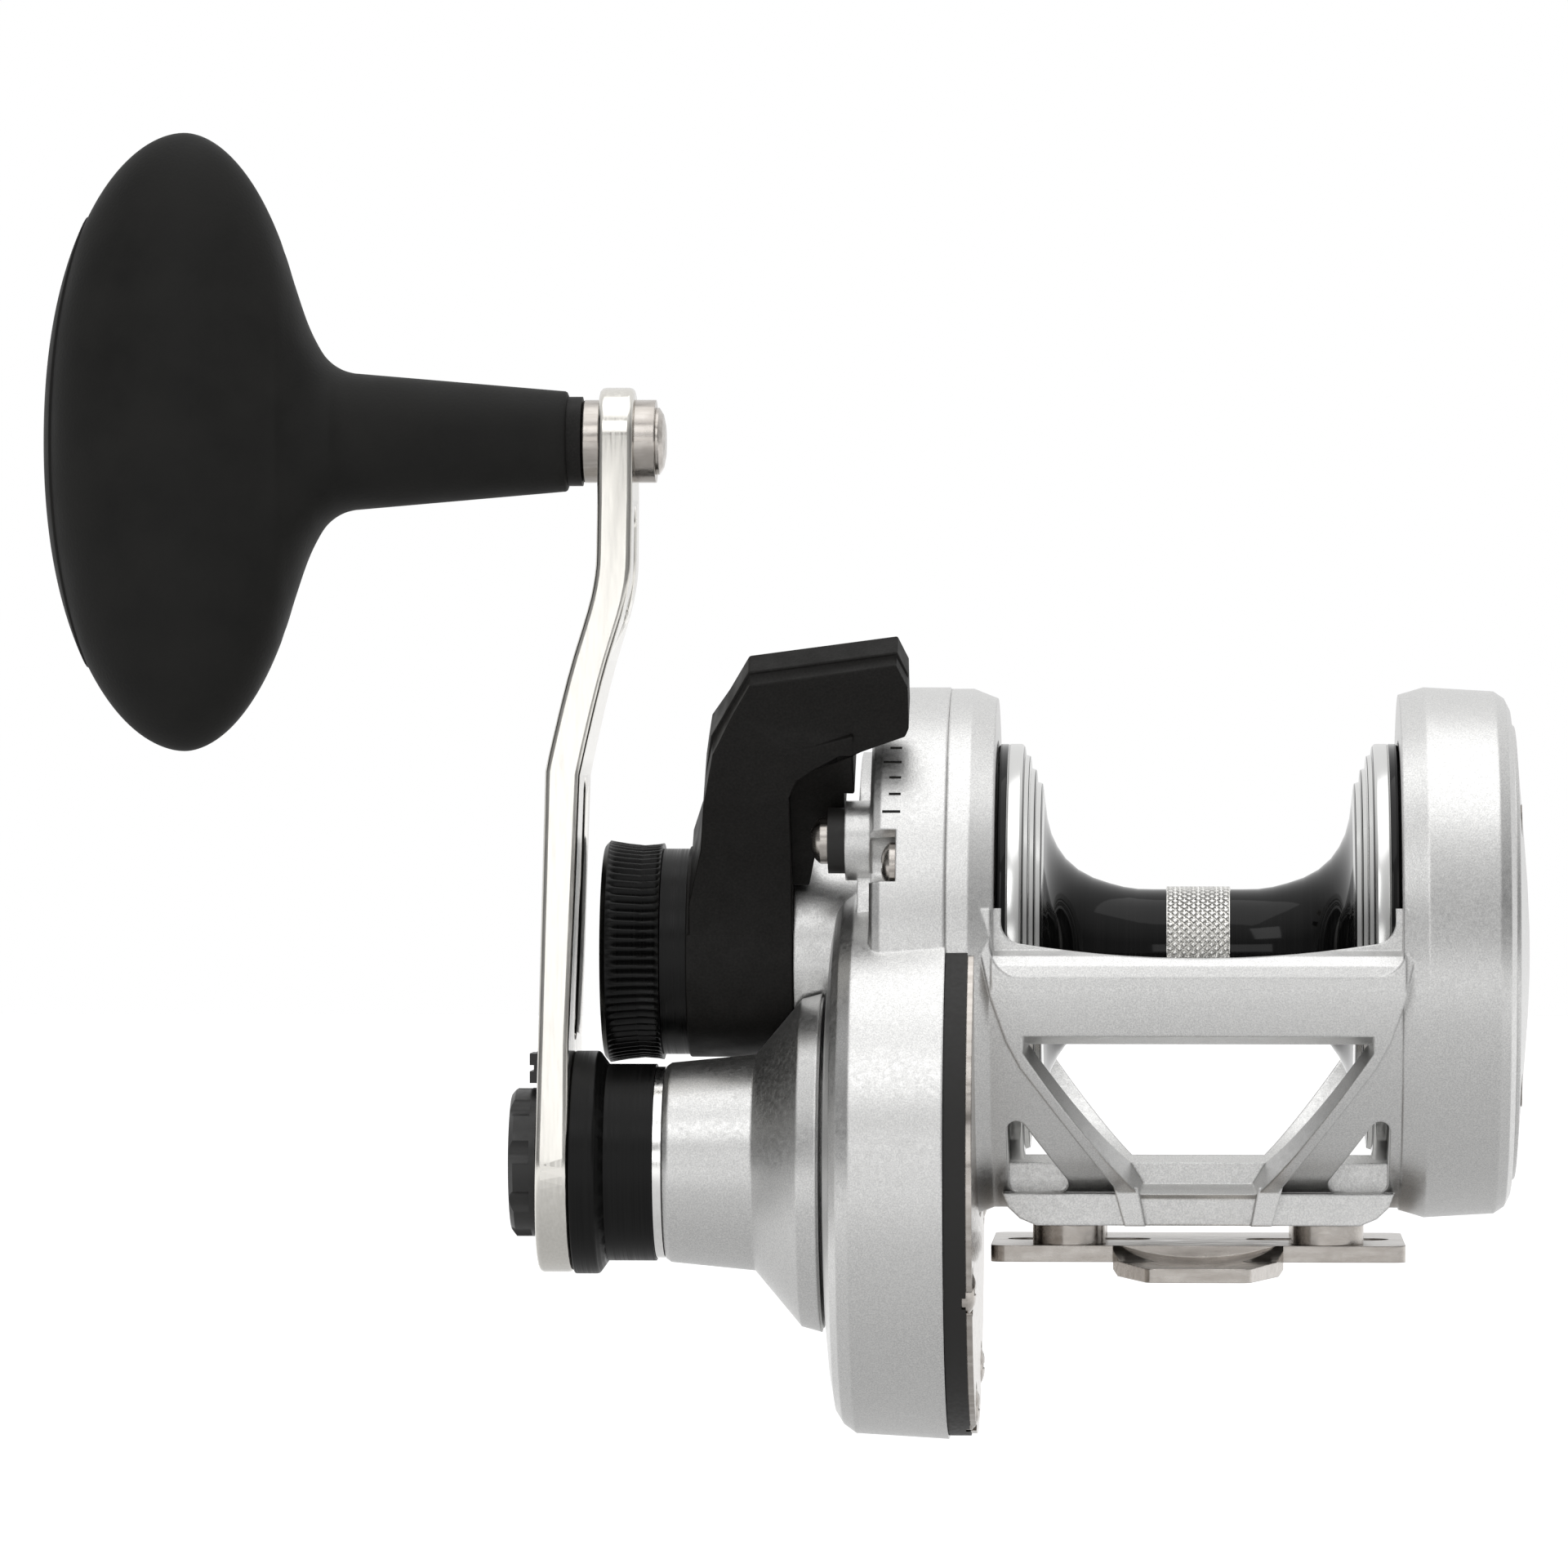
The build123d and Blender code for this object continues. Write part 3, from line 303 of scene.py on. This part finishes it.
NODE_FINISH = {
    "frame": SILVER, "gear_side_plate": SILVER, "palm_side_plate": SILVER, "gear_cover": SILVER,
    "hub_trim_ring": BRIGHT, "gear_case_seal": SEAL, "gear_case_back_plate": STEEL, "foot": STEEL,
    "foot_spacers": STEEL, "foot_screws": STEEL, "side_plate_screws": STEEL,
    "back_plate_screws": STEEL, "palm_plate_screws": STEEL, "stop_bumpers": SEAL,
    "stop_screws": STEEL, "outer_shaft_bearing": BEARING, "one_way_clutch": BEARING,
    "inner_shaft_bearing": BEARING, "outer_pinion_bearing": BEARING,
    "inner_pinion_bearing": BEARING, "palm_shaft_bush": BRONZE, "anti_reverse_pawls": STEEL,
    "spool_shaft": BEARING, "cam_follower": BRONZE, "preset_springs": STEEL, "spool": GLOSS,
    "spool_knurled_band": KNURL, "spool_bearings": BEARING, "carbon_drag_washer": CARBON,
    "click_ratchet": BRONZE, "high_pinion": BEARING, "low_pinion": BEARING,
    "drag_drive_plate": STEEL, "drag_lever": MATTE, "lever_sleeve": TURNED, "drag_cam": BRONZE,
    "preset_knob": TURNED, "handle_arm": ARM, "hub_plate": COLLAR, "arm_screws": STEEL,
    "handle_collar": COLLAR, "drive_shaft": BEARING, "high_speed_gear": BRONZE,
    "anti_reverse_ratchet": STEEL, "knob_spindle": STEEL, "spindle_collar": STEEL,
    "spindle_rivet": STEEL, "low_speed_gear": BRONZE, "shift_button": BUTTON,
    "shift_rod": BEARING, "gear_key": STEEL, "release_latch": BUTTON, "knob_grip": RUBBER,
    "knob_end_cap": RUBBER, "knob_ring": MATTE, "knob_bearings": BEARING, "click_pawl": STEEL,
    "click_button": MATTE,
}


def finish_nodes():
    for name, material in NODE_FINISH.items():
        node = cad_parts[name]
        node.data.materials.clear()
        node.data.materials.append(material)


# ---- mesh helpers --------------------------------------------------------------------------------
def shaded(mesh, sharp_degrees=35):
    work = bmesh.new()
    work.from_mesh(mesh)
    bmesh.ops.recalc_face_normals(work, faces=work.faces)
    work.to_mesh(mesh)
    work.free()
    mesh.shade_smooth()
    mesh.set_sharp_from_angle(angle=math.radians(sharp_degrees))


def skin(name, rings, loop=False, sharp_degrees=35):
    """Mesh through closed rings of points. A loop joins the last ring to the first, else both are capped."""
    rings = np.asarray(rings)
    rows, around = rings.shape[:2]
    faces = []
    for row in range(rows if loop else rows - 1):
        this, after = row * around, (row + 1) % rows * around
        for i in range(around):
            j = (i + 1) % around
            faces.append((this + i, this + j, after + j, after + i))
    if not loop:
        faces.append(tuple(range(around)))
        faces.append(tuple(range((rows - 1) * around, rows * around)))
    mesh = bpy.data.meshes.new(name)
    mesh.from_pydata(rings.reshape(-1, 3).tolist(), [], faces)
    shaded(mesh, sharp_degrees)
    return mesh


def softened(profile, size, loop=True):
    """Profile whose corners are rounded, each with three points."""
    points = [Vector(point) for point in profile]
    rounded = []
    for i, corner in enumerate(points):
        if not loop and i in (0, len(points) - 1):
            rounded.append(tuple(corner))
            continue
        back = points[i - 1] - corner
        ahead = points[(i + 1) % len(points)] - corner
        reach = min(size, back.length * 0.4, ahead.length * 0.4)
        start = corner + back.normalized() * reach
        end = corner + ahead.normalized() * reach
        for t in (0.0, 0.5, 1.0):
            rounded.append(tuple(start * (1 - t) ** 2 + corner * 2 * t * (1 - t) + end * t ** 2))
    return rounded


def turned(name, profile, centre, steps=160, loop=True, relief=None):
    """Skin of an (x, radius) profile turned about X. relief(x, radius, angle) lowers the radius."""
    angle = np.linspace(0, 2 * math.pi, steps, endpoint=False)
    rings = []
    for x, radius in profile:
        reach = np.full(steps, radius * MM)
        if relief is not None:
            reach = reach - relief(x, radius, angle) * MM
        y = centre.y + reach * np.cos(angle)
        z = centre.z + reach * np.sin(angle)
        rings.append(np.stack([np.full(steps, x * MM), y, z], axis=1))
    return skin(name, rings, loop)


def stand_in(name, mesh, body, material, *nodes, slot=None):
    """Puts a mesh on a body with a material, in place of CAD nodes where some are named. Its slot argument
    is not used.
    """
    piece = bpy.data.objects.new(name, mesh)
    bpy.context.scene.collection.objects.link(piece)
    mesh.materials.append(material)
    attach(piece, body)
    if nodes:
        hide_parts(*nodes)
    return piece


# ---- turned and moulded pieces -------------------------------------------------------------------
GROOVES, GROOVE_DEPTH = 74, 0.55
RIM_LEFT, RIM_RIGHT, RIM_INNER = -86.2, -78.4, 15.4      # grooved rim of the preset knob
GROOVE_END = -78.5           # where the grooves stop, just short of the rim's right edge
BAND_HALF, BAND_OUTER, BAND_SHOULDER, BAND_INNER = 4.7, 9.6, 9.4, 8.72     # knurled band
KNURL_ACROSS, KNURL_AROUND, KNURL_DEPTH = 7, 48, 0.32
KNURL_HALF, KNURL_FLOOR = 4.5, 9.0     # the knurl keeps off the band's ends and bore
BULB_X, BULB_HALF, BULB_OUT, BULB_IN = -147.6, 45.05, 20.2, 18.8     # grip bulb, from its widest place
BULB_DEEP = 16.4             # half of the bulb's depth, front to back
BULB_FALL, BULB_BLUNT, BULB_FULL = 1.887, 0.4545, 0.5    # powers that shape the bulb's outline
CAP_HIGH, CAP_WIDE, CAP_RAISE = 32.9, 6.4, 0.27      # oval inlay in the bulb's outer end
CAP_FALL, CAP_FULL = 2.2, 0.53         # powers that lay it on the bulb
TICK_X, TICK_R = -42.6, 38.84
TICKS, TICK_LONG, TICK_SHORT = 10, 2.6, 1.7
TICK_HALF_WIDTH, TICK_DEPTH = 0.2, 0.3
TICK_START, TICK_STEP = 17.0, 4.5      # degrees from straight up, towards the angler
NECK_JOIN = 11.0             # half depth where the bulb runs into the neck
NECK = [
    (-135.0, 31.4), (-133.1, 27.9), (-131.6, 23.2), (-129.9, 18.1), (-128.5, 14.9), (-126.9, 12.3),
    (-124.9, 10.7), (-122.6, 9.95), (-119.0, 9.6),
]
NECK_END = (-91.9, 7.3)


def preset_grooves(x, radius, angle):
    """V grooves round the preset knob's rim, running out to points at its left edge."""
    if radius < RIM_INNER:
        return 0 * angle
    deep = min(1.0, max(0.0, (x - RIM_LEFT) / 1.5)) * min(1.0, max(0.0, (GROOVE_END - x) / 0.5))
    wave = np.abs(angle * GROOVES / (2 * math.pi) % 1 - 0.5) * 2
    return GROOVE_DEPTH * deep * np.clip((wave - 0.2) / 0.8, 0, 1)


def preset_knob():
    rim = [(-78.4, 15.9), (-79.2, 15.75), (-81.2, 15.6), (-83.6, 15.85), (-85.4, 16.15), (-86.2, 16.3)]
    xs, radii = zip(*sorted(rim))
    band = [(x, float(np.interp(x, xs, radii))) for x in np.linspace(RIM_RIGHT, RIM_LEFT, 40)]
    face = softened([(-86.2, 16.3), (-87.0, 15.5), (-87.0, 13.4), (-86.4, 12.9), (-86.4, 5.4),
                     (-87.0, 4.9), (-87.0, 1.6), (-86.5, 1.2)], 0.25, loop=False)
    profile = [(-82.3, 0.6), (-82.3, 2.56), (-78.4, 2.56)] + band + face[1:] + [(-86.5, 0.3)]
    mesh = turned("preset_knob_grooved", profile, SPOOL, GROOVES * 8, loop=False, relief=preset_grooves)
    stand_in("preset_knob_grooved", mesh, "preset_knob", TURNED, "preset_knob")


def knurl(x, radius, angle):
    """Diamond pyramids between two crossed sets of grooves."""
    if radius < KNURL_FLOOR or abs(x) > KNURL_HALF:
        return 0 * angle
    across = x / (2 * BAND_HALF) * KNURL_ACROSS
    along = angle / (2 * math.pi) * KNURL_AROUND
    one = np.abs((across + along) % 1 - 0.5) * 2
    two = np.abs((across - along) % 1 - 0.5) * 2
    return KNURL_DEPTH * np.clip((np.maximum(one, two) - 0.55) / 0.45, 0, 1)


def knurled_band():
    outer = [(x, BAND_OUTER) for x in np.linspace(-BAND_HALF, BAND_HALF, 96)]
    left = [(-BAND_HALF, BAND_INNER), (-BAND_HALF, BAND_SHOULDER)]
    profile = left + outer[1:-1] + [(-x, radius) for x, radius in reversed(left)]
    mesh = turned("knurled_band", profile, SPOOL, KNURL_AROUND * 10, relief=knurl)
    stand_in("knurled_band", mesh, "spool", KNURL, "spool_knurled_band")


def spool():
    """Spool with its bevelled lips, three steps inside each flange and the curve to the arbor."""
    flange = [
        (25.75, 30.5), (25.35, 30.1), (25.2, 28.9), (24.5, 28.7), (24.35, 26.9), (23.65, 26.7),
        (23.5, 24.9), (22.75, 24.7), (22.4, 21.9),
    ]
    edge = [
        (19.0, 4.5), (19.0, 6.5), (25.9, 6.5), (25.9, 26.6), (29.2, 26.6), (29.2, 30.1), (28.8, 30.5),
        (27.75, 30.5), (27.6, 30.35), (27.45, 30.5),
    ]
    bend = [
        (22.1, 19.6), (21.5, 17.3), (20.6, 15.4), (19.4, 13.7), (17.6, 12.1), (15.4, 10.9), (13.0, 10.1),
        (10.9, 9.55), (8.8, 9.25), (6.4, 9.2),
    ]
    seat = [(4.7, 9.2), (4.7, 8.7)]
    right = softened(edge + flange, 0.12, loop=False) + bend + seat
    left = [(-x, radius) for x, radius in reversed(right)]
    mesh = turned("spool_turned", right + left, SPOOL, 192)
    stand_in("spool_turned", mesh, "spool", GLOSS, "spool")


def bulb_side(x):
    """Half height of the bulb at x: an oval, blunter towards the hand than towards the neck."""
    away = x - BULB_X
    if away < 0:
        return BULB_HALF * max(0.0, 1 - (-away / BULB_OUT) ** BULB_FALL) ** BULB_BLUNT
    return BULB_HALF * max(0.0, 1 - (away / BULB_IN) ** BULB_FALL) ** BULB_FULL


def grip_ring(x, high, steps=144):
    """Oval section of the grip at x, that turns round towards the neck."""
    towards_neck = min(1.0, max(0.0, (x - BULB_X) / (NECK[1][0] - BULB_X)))
    round_part = min(high, NECK_JOIN) * towards_neck
    deep = ((high * BULB_DEEP / BULB_HALF) ** 4 + round_part ** 4) ** 0.25
    angle = np.linspace(0, 2 * math.pi, steps, endpoint=False)
    return np.stack([
        np.full(steps, x * MM), KNOB.y + deep * MM * np.cos(angle), KNOB.z + high * MM * np.sin(angle),
    ], axis=1)


def spaced_towards(start, end, count):
    """Places from start to end, closer together near the end."""
    return [start + (end - start) * math.sin(math.pi / 2 * i / (count - 1)) for i in range(count)]


def smooth_through(points, steps):
    """Points on a Catmull-Rom curve from the second point to the last but one."""
    curve = []
    for a, b, c, d in zip(points, points[1:], points[2:], points[3:]):
        a, b, c, d = (np.array(point) for point in (a, b, c, d))
        for t in np.arange(steps) / steps:
            pull = (2 * a - 5 * b + 4 * c - d) * t ** 2 + (3 * b - a - 3 * c + d) * t ** 3
            curve.append(tuple((2 * b + (c - a) * t + pull) / 2))
    return curve


def knob_grip():
    """Grip: an oval bulb across the hand that runs into a straight tapered neck."""
    left = [BULB_X - step for step in spaced_towards(0, BULB_OUT - 0.002, 44)][::-1]
    rings = [grip_ring(x, bulb_side(x)) for x in left]
    rings += [grip_ring(x, bulb_side(x)) for x in np.linspace(BULB_X, NECK[1][0], 30)[1:-1]]
    rings += [grip_ring(x, high) for x, high in smooth_through(NECK, 6)]
    (low_x, low_r), (high_x, high_r) = NECK[-2], NECK_END
    for t in np.linspace(0, 1, 24):
        rings.append(grip_ring(low_x + (high_x - low_x) * t, low_r + (high_r - low_r) * t))
    rings += [grip_ring(-91.65, 7.15), grip_ring(-91.5, 6.8), grip_ring(-91.5, 3.2)]
    mesh = skin("knob_grip_moulded", rings, sharp_degrees=50)
    stand_in("knob_grip_moulded", mesh, "knob", RUBBER, "knob_grip")


def cap_ring(share, lift, steps=144):
    """Oval of the end cap, at a share of its size, lifted off the bulb's outer end."""
    angle = np.linspace(0, 2 * math.pi, steps, endpoint=False)
    y, z = CAP_WIDE * share * np.cos(angle), CAP_HIGH * share * np.sin(angle)
    reach = np.sqrt(z ** 2 + (y * BULB_HALF / BULB_DEEP) ** 2) / BULB_HALF
    x = BULB_X - BULB_OUT * (1 - reach ** CAP_FALL) ** CAP_FULL - lift
    return np.stack([x * MM, KNOB.y + y * MM, KNOB.z + z * MM], axis=1)


def knob_end_cap():
    """Cap let into the end of the grip, standing a little proud behind a fine groove."""
    rim = [(1.0, -0.9), (1.0, 0.0), (0.996, CAP_RAISE * 0.75), (0.985, CAP_RAISE)]
    rings = [cap_ring(share, lift) for share, lift in rim]
    rings += [cap_ring(share, CAP_RAISE) for share in np.linspace(0.95, 0.02, 30)]
    mesh = skin("knob_cap_moulded", rings, sharp_degrees=50)
    stand_in("knob_cap_moulded", mesh, "knob", RUBBER, "knob_end_cap")


def drag_scale_ticks():
    """Plain marks on the side plate's rim, beside the drag lever's travel. Every third one is long."""
    work = bmesh.new()
    for i in range(TICKS):
        long = TICK_LONG if i % 3 == 0 else TICK_SHORT
        middle_angle = math.radians(TICK_START + TICK_STEP * i)
        corners = []
        for radius in (TICK_R - TICK_DEPTH, TICK_R):
            for x in (TICK_X, TICK_X - long):
                for offset in (-TICK_HALF_WIDTH, TICK_HALF_WIDTH):
                    turn = middle_angle + offset / TICK_R
                    y = SPOOL.y - radius * MM * math.sin(turn)
                    z = SPOOL.z + radius * MM * math.cos(turn)
                    corners.append(work.verts.new((x * MM, y, z)))
        for face in ((0, 1, 3, 2), (4, 5, 7, 6), (0, 1, 5, 4), (2, 3, 7, 6), (0, 2, 6, 4), (1, 3, 7, 5)):
            work.faces.new([corners[k] for k in face])
    bmesh.ops.recalc_face_normals(work, faces=work.faces)
    mesh = bpy.data.meshes.new("drag_scale_ticks")
    work.to_mesh(mesh)
    work.free()
    stand_in("drag_scale_ticks", mesh, "root", MATTE, slot="matte_black")


WELD = 1e-6                  # vertices closer than this are one
FLAT_WITHIN, ROUNDED_OVER, CREASED_OVER = 0.6, 40, 30    # degrees between faces


def bevelled(node, body, width, segments=2):
    """Copy of a CAD node's shape with its outward edges rounded."""
    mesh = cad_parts[node].data.copy()
    work = bmesh.new()
    work.from_mesh(mesh)
    bmesh.ops.remove_doubles(work, verts=work.verts, dist=WELD)
    bmesh.ops.dissolve_limit(
        work, angle_limit=math.radians(FLAT_WITHIN), verts=work.verts, edges=work.edges,
    )
    weight = work.edges.layers.float.new("bevel_weight_edge")
    for edge in work.edges:
        outward = len(edge.link_faces) == 2 and edge.is_convex
        if outward and edge.calc_face_angle() > math.radians(ROUNDED_OVER):
            edge[weight] = 1.0
    work.to_mesh(mesh)
    work.free()
    mesh.materials.clear()
    piece = stand_in(node + "_bevelled", mesh, body, NODE_FINISH[node], node)
    bevel = piece.modifiers.new("edges", "BEVEL")
    bevel.width = width * MM
    bevel.segments = segments
    bevel.limit_method = "WEIGHT"
    bevel.use_clamp_overlap = False
    bevel.harden_normals = True
    mesh.shade_smooth()
    mesh.set_sharp_from_angle(angle=math.radians(CREASED_OVER))


# ---- camera, floor and lights --------------------------------------------------------------------
VIEW_DISTANCE = 1.30         # camera to the spool's axis
VIEW_RISE = 31.8 * MM        # camera above the spool's axis
VIEW_WIDTH = 230.4 * MM      # what the frame spans at the spool's axis
VIEW_CENTRE = (-60.8 * MM, 24.6 * MM)
SENSOR = 36.0
WALL_FRONT, WALL_SIDE, WALL_BACK, ROOF = 0.38, 0.17, 0.88, 0.92     # brightness of the studio
FLOOR_SIZE, FLOOR_LEVEL, FLOOR_TONE, FLOOR_CLOUD = 20.0, -0.6, 0.45, 0.01
NEAR_GLOW_PAINTED_SHADOW = (0.0, 0.24, 0.15, 0.9)     # low and high strength, then where each begins and ends; the floor's glow is nil right under the reel, a painted shadow there
FAR_GLOW = (0.0, 0.55, 1.2, 3.4)
LIGHTS = [                   # name, place, size, watts, target
    ("overhead", (0.05, -0.15, 1.4), (1.3, 1.3), 4, (-0.05, 0, 0.06)),
    ("front_panel", (-0.3, -1.7, 0.3), (0.7, 0.4), 1.05, (-0.05, 0, 0.06)),
    ("left_panel", (-0.22, -0.65, 0.52), (0.3, 0.3), 0.45, (-0.05, 0, 0.03)),
]


def add_camera():
    data = bpy.data.cameras.new("camera")
    camera = bpy.data.objects.new("camera", data)
    bpy.context.scene.collection.objects.link(camera)
    camera.location = (0, -VIEW_DISTANCE, SPOOL.z + VIEW_RISE)
    aim = Vector((VIEW_CENTRE[0], 0, SPOOL.z + VIEW_CENTRE[1])) - camera.location
    camera.rotation_mode = "QUATERNION"
    camera.rotation_quaternion = aim.to_track_quat("-Z", "Y")
    data.sensor_width = SENSOR
    data.lens = SENSOR * aim.length / VIEW_WIDTH
    data.clip_start, data.clip_end = 0.05, 60
    bpy.context.scene.camera = camera


def add_light(name, place, size, watts, target):
    data = bpy.data.lights.new(name, "AREA")
    data.shape = "RECTANGLE"
    data.size, data.size_y = size
    data.energy = watts
    lamp = bpy.data.objects.new(name, data)
    bpy.context.scene.collection.objects.link(lamp)
    lamp.location = place
    lamp.rotation_mode = "QUATERNION"
    lamp.rotation_quaternion = (Vector(target) - lamp.location).to_track_quat("-Z", "Y")


def add_world():
    """White all round for the camera. The reel sees a studio, bright above and behind, dim at the sides."""
    world = bpy.data.worlds.new("studio")
    bpy.context.scene.world = world
    world.use_nodes = True
    studio = NodeTree(world.node_tree)
    toward = studio.node("ShaderNodeSeparateXYZ")
    studio.link(studio.node("ShaderNodeTexCoord").outputs["Generated"], toward.inputs["Vector"])
    sideways = studio.math("POWER", studio.math("ABSOLUTE", toward.outputs["X"]), 2.0)
    walls = studio.span(sideways, WALL_FRONT, WALL_SIDE, 0.0, 1.0)
    behind = studio.span(toward.outputs["Y"], 0.0, 1.0, 0.05, 0.6)
    walls = studio.blend(behind, walls, WALL_BACK)
    roof = studio.span(toward.outputs["Z"], 0.0, 1.0, 0.3, 0.95)
    seen = studio.node("ShaderNodeLightPath").outputs["Is Camera Ray"]
    level = studio.blend(seen, studio.blend(roof, walls, ROOF), 1.0)
    studio.link(level, world.node_tree.nodes["Background"].inputs["Strength"])
    world.node_tree.nodes["Background"].inputs["Color"].default_value = (1, 1, 1, 1)


def add_floor():
    """Pale floor, far below the reel, which hangs on a rod in use. It glows, which is painted light: not at
    all right under the reel, a painted soft shadow there, and brighter to white far away.
    """
    mesh = bpy.data.meshes.new("floor")
    quarters = ((-1, -1), (1, -1), (1, 1), (-1, 1))
    corners = [(x * FLOOR_SIZE, y * FLOOR_SIZE, FLOOR_LEVEL) for x, y in quarters]
    mesh.from_pydata(corners, [], [(0, 1, 2, 3)])
    floor = bpy.data.objects.new("floor", mesh)
    bpy.context.scene.collection.objects.link(floor)
    shader = Shader("floor_pale", (FLOOR_TONE,) * 3, 0.0, 0.9)
    tint = shader.noise(3, 2.0)
    dark, light = (FLOOR_TONE - FLOOR_CLOUD,) * 3, (FLOOR_TONE + FLOOR_CLOUD,) * 3
    shader.color(shader.mix(shader.span(tint, 0, 1), dark, light))
    away = shader.node("ShaderNodeVectorMath", operation="LENGTH")
    shader.link(shader.place, away.inputs[0])
    # painted light: the floor glows, least right under the reel, which paints a soft shadow there
    near = shader.span(away.outputs["Value"], *NEAR_GLOW_PAINTED_SHADOW)
    far = shader.span(away.outputs["Value"], *FAR_GLOW)
    glow = shader.math("ADD", near, far)
    shader.bsdf.inputs["Emission Color"].default_value = (1, 1, 1, 1)
    shader.link(glow, shader.bsdf.inputs["Emission Strength"])
    mesh.materials.append(shader.material)


finish_nodes()
preset_knob()
knurled_band()
spool()
knob_grip()
knob_end_cap()
drag_scale_ticks()
bevelled("handle_arm", "handle", 0.85, 3)
bevelled("hub_plate", "handle", 0.3)
bevelled("drag_lever", "drag_lever", 0.3)
add_world()
add_floor()
for light in LIGHTS:
    add_light(*light)
add_camera()
bpy.context.scene.view_settings.view_transform = "Standard"
